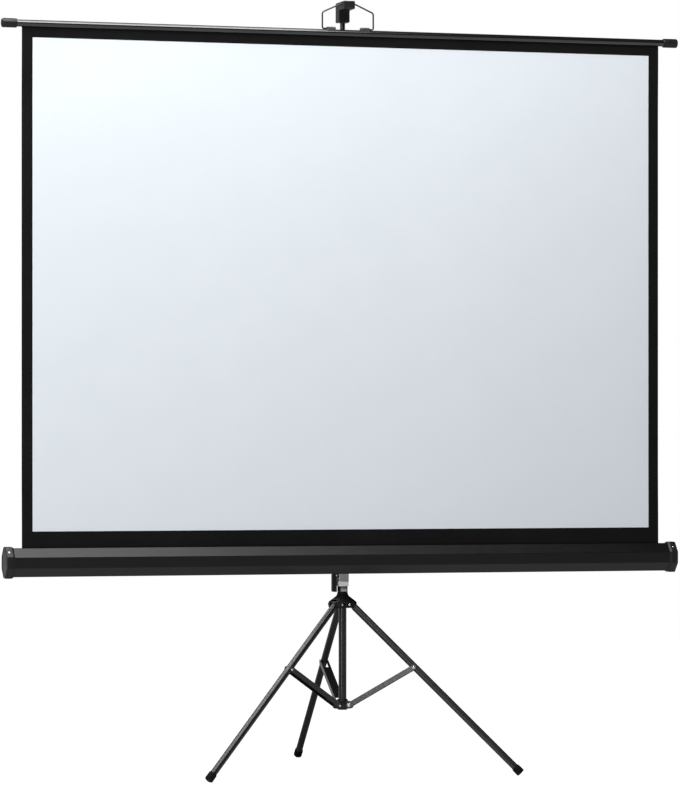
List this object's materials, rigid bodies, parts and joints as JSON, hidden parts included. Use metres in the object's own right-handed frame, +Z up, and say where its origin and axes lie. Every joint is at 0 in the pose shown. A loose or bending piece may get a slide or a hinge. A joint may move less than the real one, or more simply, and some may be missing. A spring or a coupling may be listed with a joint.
{
  "type": "tripod projection screen",
  "caption": "Free-standing projection screen: folding tripod, centre post with sliding carriage and sprung roller case, bordered white cloth drawn up to a top bar hung by a wire bail on a hook.",
  "frame": {"origin": "on the floor at the middle of the footprint box", "axes": "+Z up along the post, +X to the right as the audience sees it, the white face looks along -Y"},
  "size_m": [2.228, 0.9084, 2.437],
  "materials": {
    "black_tube": "semi-gloss black enamel",
    "black_steel": "satin black enamel",
    "case_paint": "satin black powder coat",
    "black_nylon": "moulded black nylon",
    "cap_plastic": "moulded black plastic",
    "foot_rubber": "black rubber",
    "bright_steel": "bright zinc",
    "zinc_steel": "zinc plated",
    "bail_wire": "dark zinc plated wire",
    "guide_plastic": "natural nylon",
    "screen_cloth": "matte white coated cloth with a black border",
    "felt": "black felt"
  },
  "bodies": {
    "post": {"centre_post": "black_tube", "post_top_bush": "black_nylon", "lower_hub": "black_nylon", "lower_hub_rivets": "bright_steel", "post_end_plug": "black_nylon"},
    "rod_clamp": {"rod_knob": "black_nylon"},
    "collar": {"leg_collar": "black_nylon", "leg_pivot_pins": "bright_steel"},
    "carriage": {"slide_sleeve": "zinc_steel", "sleeve_guides": "guide_plastic", "carriage_foot": "black_nylon", "case_bracket": "black_steel", "pivot_rivet": "bright_steel", "bracket_rivets": "bright_steel", "lever_ears": "zinc_steel", "lever_pin": "bright_steel", "lever_spring": "zinc_steel", "case_shell": "case_paint", "slot_felts": "felt", "end_cap_left": "cap_plastic", "end_cap_right": "cap_plastic", "end_cap_screws": "bright_steel", "spring_arbor": "zinc_steel", "idle_pin": "zinc_steel", "screen_fabric": "screen_cloth"},
    "lever": {"lock_lever": "black_nylon"},
    "roller": {"roller_tube": "zinc_steel", "fabric_roll": "screen_cloth", "roller_plug_left": "guide_plastic", "roller_plug_right": "guide_plastic", "roller_spring": "zinc_steel"},
    "top": {"top_bar": "black_tube", "keder_rod": "guide_plastic", "bar_cap_left": "cap_plastic", "bar_cap_right": "cap_plastic", "bail": "bail_wire", "bail_clips": "zinc_steel", "clip_screws": "bright_steel", "hook_block": "black_nylon", "extension_rod": "black_tube", "hook_pin": "bright_steel", "rod_end_plug": "black_nylon"},
    "left_leg": {"left_leg_tube": "black_tube", "left_leg_insert": "black_nylon", "left_leg_foot": "foot_rubber"},
    "left_brace": {"left_brace": "black_steel", "left_brace_rivets": "bright_steel"},
    "right_leg": {"right_leg_tube": "black_tube", "right_leg_insert": "black_nylon", "right_leg_foot": "foot_rubber"},
    "right_brace": {"right_brace": "black_steel", "right_brace_rivets": "bright_steel"},
    "rear_leg": {"rear_leg_tube": "black_tube", "rear_leg_insert": "black_nylon", "rear_leg_foot": "foot_rubber"},
    "rear_brace": {"rear_brace": "black_steel", "rear_brace_rivets": "bright_steel"}
  },
  "joints": [
    {"name": "tripod_fold", "type": "slide", "parent": "post", "child": "collar", "axis": [0, 0, 1], "range_m": [0, 0.20819]},
    {"name": "screen_height", "type": "slide", "parent": "collar", "child": "carriage", "axis": [0, 0, 1], "range_m": [0, 0.25]},
    {"name": "screen_slide", "type": "slide", "parent": "carriage", "child": "top", "axis": [0, 0, 1], "range_m": [-0.55, 0], "deforming": ["screen_fabric"]},
    {"name": "roller_turn", "type": "hinge", "parent": "carriage", "child": "roller", "pos_m": [0, -0.17586, 0.674], "axis": [1, 0, 0], "range_deg": [-10, 2000]},
    {"name": "lever_squeeze", "type": "hinge", "parent": "carriage", "child": "lever", "pos_m": [-0.0225, -0.13446, 0.622], "axis": [0, -1, 0], "range_deg": [0, 4], "stiffness_Nm_per_rad": 2, "springref_deg": -5.73},
    {"name": "rod_knob_turn", "type": "hinge", "parent": "post", "child": "rod_clamp", "pos_m": [0, -0.13446, 1.466], "axis": [0, 1, 0], "continuous": true},
    {"name": "left_leg_fold", "type": "hinge", "parent": "collar", "child": "left_leg", "pos_m": [-0.02649, -0.14855, 0.531], "axis": [0.4695, -0.8829, 0], "range_deg": [0, 42.93]},
    {"name": "left_brace_fold", "type": "hinge", "parent": "post", "child": "left_brace", "pos_m": [-0.02119, -0.14573, 0.2117], "axis": [-0.4695, 0.8829, 0], "range_deg": [0, 54.29]},
    {"name": "right_leg_fold", "type": "hinge", "parent": "collar", "child": "right_leg", "pos_m": [0.02544, -0.15036, 0.531], "axis": [0.5299, 0.848, 0], "range_deg": [0, 42.93]},
    {"name": "right_brace_fold", "type": "hinge", "parent": "post", "child": "right_brace", "pos_m": [0.02035, -0.14718, 0.2117], "axis": [-0.5299, -0.848, 0], "range_deg": [0, 54.29]},
    {"name": "rear_leg_fold", "type": "hinge", "parent": "collar", "child": "rear_leg", "pos_m": [0.00105, -0.10448, 0.531], "axis": [-0.9994, 0.0349, 0], "range_deg": [0, 42.93]},
    {"name": "rear_brace_fold", "type": "hinge", "parent": "post", "child": "rear_brace", "pos_m": [0.00084, -0.11048, 0.2117], "axis": [0.9994, -0.0349, 0], "range_deg": [0, 54.29]}
  ],
  "couplings": [
    {"joint": "roller_turn", "follows": "screen_slide", "rad_per_m": -61.728},
    {"joint": "left_leg_fold", "follows": "tripod_fold", "rad_per_m": 3.5982},
    {"joint": "left_brace_fold", "follows": "tripod_fold", "rad_per_m": 4.5504},
    {"joint": "right_leg_fold", "follows": "tripod_fold", "rad_per_m": 3.5982},
    {"joint": "right_brace_fold", "follows": "tripod_fold", "rad_per_m": 4.5504},
    {"joint": "rear_leg_fold", "follows": "tripod_fold", "rad_per_m": 3.5982},
    {"joint": "rear_brace_fold", "follows": "tripod_fold", "rad_per_m": 4.5504}
  ]
}
